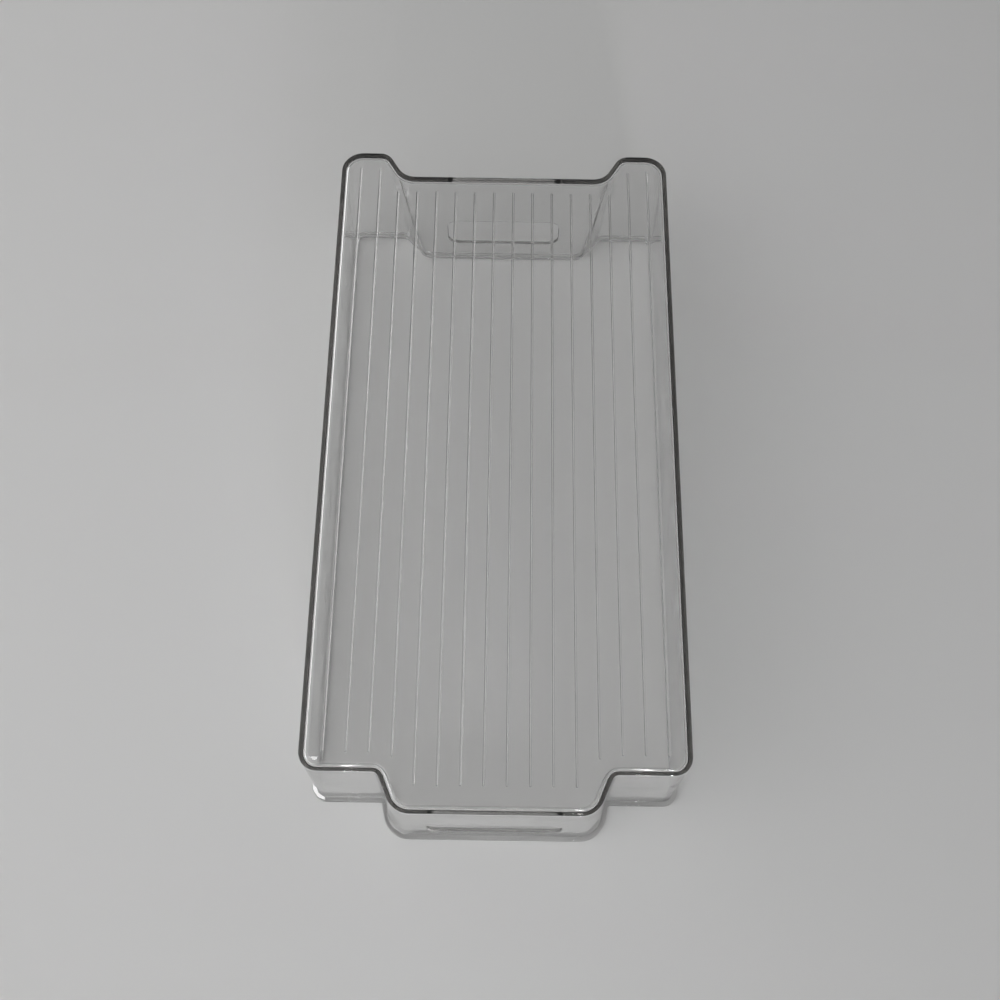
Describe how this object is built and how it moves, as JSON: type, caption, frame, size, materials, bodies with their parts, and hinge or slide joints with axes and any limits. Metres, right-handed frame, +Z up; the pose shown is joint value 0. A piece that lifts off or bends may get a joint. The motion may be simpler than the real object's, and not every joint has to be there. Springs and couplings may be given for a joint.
{
  "type": "fridge drawer organizer bin",
  "caption": "Clear open bin for a fridge drawer, with a ribbed base, a tab at one end, a notch at the other and a finger slot through each; it lies on its open rim.",
  "frame": {"origin": "on the plane of the open rim, under the middle of the bin", "axes": "+X across the bin, +Y along it from the tab end to the notch end, +Z up through the base panel, because the bin lies upside down on its rim; for use it is turned over about Y"},
  "size_m": [0.205, 0.3924, 0.093],
  "materials": {
    "clear_plastic": "polished clear injection moulding with a faint smoky grey tint"
  },
  "bodies": {
    "root": {"organizer_bin": "clear_plastic"}
  },
  "joints": []
}
